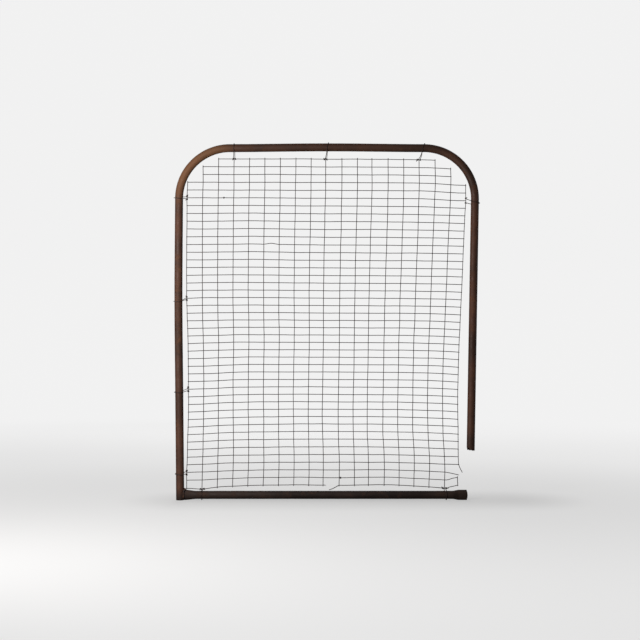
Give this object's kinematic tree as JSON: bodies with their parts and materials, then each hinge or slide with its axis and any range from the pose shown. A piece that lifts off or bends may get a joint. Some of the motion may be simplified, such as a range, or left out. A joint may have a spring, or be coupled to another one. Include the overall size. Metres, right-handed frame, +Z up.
{
  "type": "livestock panel gate",
  "caption": "Old pipe gate panel: a bent steel pipe arch with a broken right upright, a bottom rail and a sagging welded wire mesh held by twisted wire ties.",
  "frame": {"origin": "centre of the foot of the left upright, the side that hangs on the gate post, at ground level", "axes": "+Z up along the left upright, +X across the gate to the broken right upright, +Y through the panel towards the side the mesh sags to"},
  "size_m": [1.0042, 0.0986, 1.1709],
  "materials": {
    "rusted_pipe": "bare steel pipe weathered to a brown rust patina",
    "dark_pipe": "bare steel pipe darkened by soil and old rust",
    "weld_bead": "rough stick weld, rusted",
    "mesh_wire": "drawn steel wire whose zinc has gone, grey brown",
    "tie_wire": "soft black annealed wire, dark brown rust"
  },
  "bodies": {
    "root": {"frame_tube": "rusted_pipe", "bottom_rail": "dark_pipe", "corner_weld": "weld_bead", "mesh_cross_wires": "mesh_wire", "mesh_bottom_wire_right": "mesh_wire", "mesh_edge_wire_stub": "mesh_wire", "mesh_upright_wire_01": "mesh_wire", "mesh_upright_wire_02": "mesh_wire", "mesh_upright_wire_03": "mesh_wire", "mesh_upright_wire_04": "mesh_wire", "mesh_upright_wire_05": "mesh_wire", "mesh_upright_wire_06": "mesh_wire", "mesh_upright_wire_07": "mesh_wire", "mesh_upright_wire_08": "mesh_wire", "mesh_upright_wire_09": "mesh_wire", "mesh_upright_wire_11": "mesh_wire", "mesh_upright_wire_12": "mesh_wire", "mesh_upright_wire_13": "mesh_wire", "mesh_upright_wire_14": "mesh_wire", "mesh_upright_wire_15": "mesh_wire", "mesh_upright_wire_16": "mesh_wire", "mesh_upright_wire_17": "mesh_wire", "mesh_upright_wire_18": "mesh_wire", "mesh_upright_wire_19": "mesh_wire", "tie_left_1": "tie_wire", "tie_left_2": "tie_wire", "tie_left_3": "tie_wire", "tie_left_4": "tie_wire", "tie_top_1": "tie_wire", "tie_top_2": "tie_wire", "tie_top_3": "tie_wire", "tie_right": "tie_wire", "tie_bottom_1": "tie_wire", "tie_bottom_2": "tie_wire", "tie_remnant": "tie_wire"}
  },
  "joints": []
}
